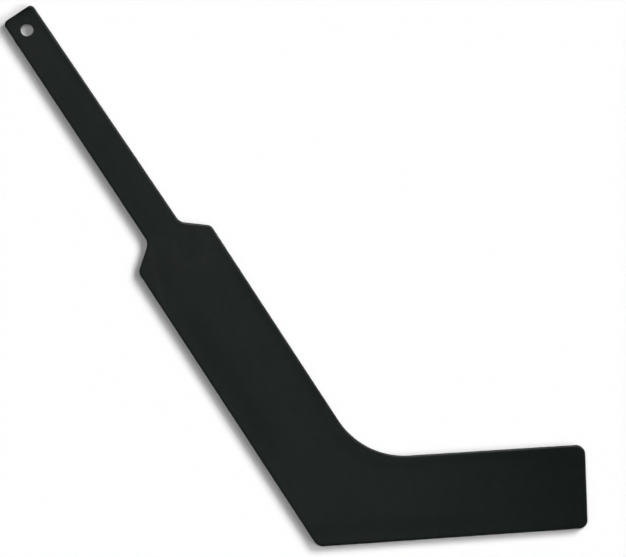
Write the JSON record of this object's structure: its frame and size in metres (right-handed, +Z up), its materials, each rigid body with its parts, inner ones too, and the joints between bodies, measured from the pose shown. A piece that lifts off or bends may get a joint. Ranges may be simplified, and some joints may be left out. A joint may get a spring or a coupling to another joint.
{
  "type": "ice hockey goalie stick",
  "caption": "Small ice hockey goalie stick: slim shaft with a round hanging hole, sloped shoulders, wide paddle, rounded throat and straight flat blade, in satin black plastic.",
  "frame": {"origin": "the grip: the middle of the shaft's thickness and width, 45 mm above the shoulders, where the goalie's stick hand closes round the shaft in the playing position", "axes": "+Z up with the sole of the blade level, as it is played on the ice; +X along the sole from heel to toe; -Y out of the front face, +Y out of the back face"},
  "size_m": [0.4456, 0.0094, 0.4538],
  "materials": {
    "black_moulding": "satin moulded plastic with a fine grain",
    "birch": "bare planed birch",
    "rigid_foam": "rigid closed-cell foam, sawn"
  },
  "bodies": {
    "root": {"front_shell": "black_moulding", "back_shell": "black_moulding", "shaft_spine": "birch", "paddle_core_front": "rigid_foam", "paddle_core_rear": "rigid_foam", "heel_block": "birch", "blade_spine": "birch", "blade_core_upper": "rigid_foam", "blade_core_lower": "rigid_foam", "toe_block": "birch"}
  },
  "joints": []
}
